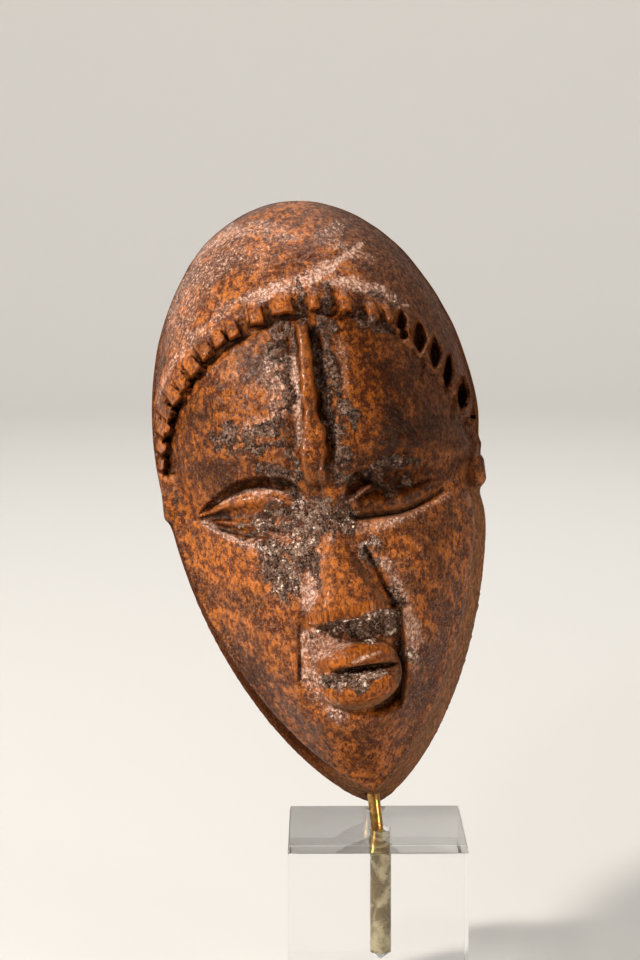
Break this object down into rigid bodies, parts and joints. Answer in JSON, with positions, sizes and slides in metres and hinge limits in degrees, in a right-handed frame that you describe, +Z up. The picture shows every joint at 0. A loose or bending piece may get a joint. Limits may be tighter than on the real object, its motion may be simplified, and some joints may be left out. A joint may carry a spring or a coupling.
{
  "type": "dan mask",
  "caption": "Small carved wooden Dan mask with a notched hair band, forehead ridge and closed eyes, on a brass rod set in a clear acrylic cube.",
  "frame": {"origin": "middle of the clear cube's underside, which stands on the surface", "axes": "+Z up from the cube's underside, the mask faces -Y and leans back towards +Y, +X to the viewer's right"},
  "size_m": [0.0593, 0.0437, 0.1369],
  "materials": {
    "wood": "satin",
    "brass": "satin",
    "clear_acrylic": "polished"
  },
  "bodies": {
    "root": {"mask": "wood", "rod": "brass", "base_block": "clear_acrylic"}
  },
  "joints": []
}
